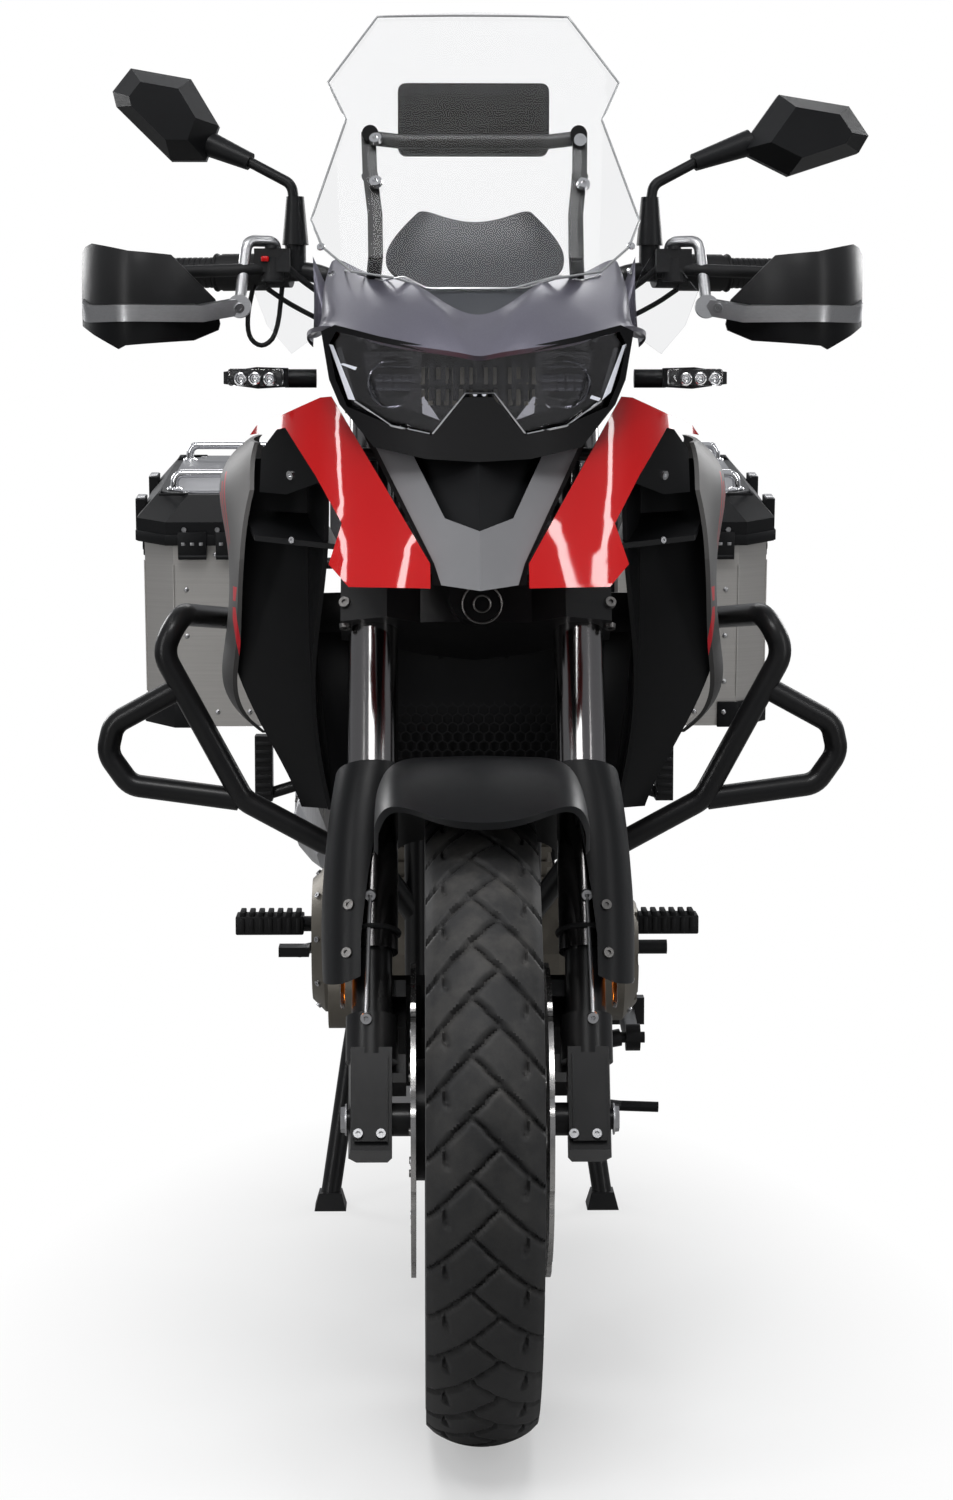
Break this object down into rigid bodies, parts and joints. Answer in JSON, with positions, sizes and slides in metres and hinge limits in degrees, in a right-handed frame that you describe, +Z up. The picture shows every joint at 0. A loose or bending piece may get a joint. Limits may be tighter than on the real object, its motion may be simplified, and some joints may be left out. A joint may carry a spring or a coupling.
{
  "type": "adventure motorcycle",
  "caption": "Adventure motorcycle on its centre stand with a tall screen, beak, handguards, crash bars and two hard panniers.",
  "frame": {"origin": "on the floor, at the centre of the outline seen from above", "axes": "+Z up, -Y is the front, +X is the rider's left"},
  "size_m": [0.904, 2.22, 1.497],
  "materials": {
    "black_metal": "satin",
    "engine_alloy": "satin",
    "steel": "satin",
    "grey_plastic": "matte",
    "seat_cover": "matte",
    "black_plastic": "matte",
    "red_lens": "gloss",
    "alloy": "satin",
    "case_alloy": "satin",
    "clear": "gloss",
    "chrome": "gloss",
    "violet_grey": "satin",
    "charcoal_plastic": "matte",
    "red_paint": "gloss",
    "rubber_black": "matte",
    "tyre": "matte"
  },
  "bodies": {
    "chassis": {"main_frame": "black_metal", "engine": "engine_alloy", "exhaust": "steel", "radiator": "black_metal", "fuel_tank": "grey_plastic", "seat": "seat_cover", "tail_cowl": "black_plastic", "rear_rack": "black_metal", "tail_light": "red_lens", "plate_holder": "black_plastic", "swingarm": "alloy", "hugger": "black_plastic", "rear_shock": "steel", "chain": "steel", "crash_bars": "black_metal", "pannier_racks": "black_metal", "pannier_left": "case_alloy", "pannier_right": "case_alloy", "footrests": "alloy", "bash_plate": "alloy", "windscreen": "clear", "headlight_housing": "black_plastic", "headlight_lens": "clear", "headlight_reflectors": "chrome", "front_cowl": "violet_grey", "nose_panel": "charcoal_plastic", "beak": "grey_plastic", "beak_liner": "black_plastic", "red_wings": "red_paint", "side_panels": "grey_plastic", "inner_shrouds": "black_plastic", "screen_bracket": "black_metal", "display": "black_plastic", "wind_deflectors": "clear", "indicators": "black_plastic"},
    "steering": {"yokes": "black_metal", "fork_tubes": "chrome", "fork_legs": "black_metal", "handlebar": "black_metal", "bar_controls": "rubber_black", "handguard_bars": "alloy", "handguards": "black_plastic", "mirrors": "black_plastic", "front_fender": "black_plastic", "front_calipers": "black_metal"},
    "front_wheel": {"front_tyre": "tyre", "front_rim": "black_metal", "front_discs": "steel"},
    "rear_wheel": {"rear_tyre": "tyre", "rear_rim": "black_metal", "rear_disc": "steel", "rear_sprocket": "steel"},
    "centre_stand": {"centre_stand": "black_metal"},
    "side_stand": {"side_stand": "black_metal"},
    "lid_left": {"lid_left": "black_plastic"},
    "lid_right": {"lid_right": "black_plastic"}
  },
  "joints": [
    {"name": "steering", "type": "hinge", "parent": "chassis", "child": "steering", "pos_m": [0, -0.40122, 1], "axis": [0, 0.4384, 0.8988], "range_deg": [-30, 30]},
    {"name": "front_wheel_turn", "type": "hinge", "parent": "steering", "child": "front_wheel", "pos_m": [0, -0.781, 0.329], "axis": [1, 0, 0], "continuous": true},
    {"name": "rear_wheel_turn", "type": "hinge", "parent": "chassis", "child": "rear_wheel", "pos_m": [0, 0.724, 0.341], "axis": [1, 0, 0], "continuous": true},
    {"name": "centre_stand_fold", "type": "hinge", "parent": "chassis", "child": "centre_stand", "pos_m": [0, 0.215, 0.285], "axis": [1, 0, 0], "range_deg": [0, 92]},
    {"name": "side_stand_fold", "type": "hinge", "parent": "chassis", "child": "side_stand", "pos_m": [0.207, -0.04, 0.268], "axis": [-1, 0, 0], "range_deg": [0, 98]},
    {"name": "left_lid", "type": "hinge", "parent": "chassis", "child": "lid_left", "pos_m": [0.2, 0.5353, 0.9021], "axis": [0, 0.9925, 0.1219], "range_deg": [-90, 0]},
    {"name": "right_lid", "type": "hinge", "parent": "chassis", "child": "lid_right", "pos_m": [-0.222, 0.5353, 0.9021], "axis": [0, 0.9925, 0.1219], "range_deg": [0, 90]}
  ]
}
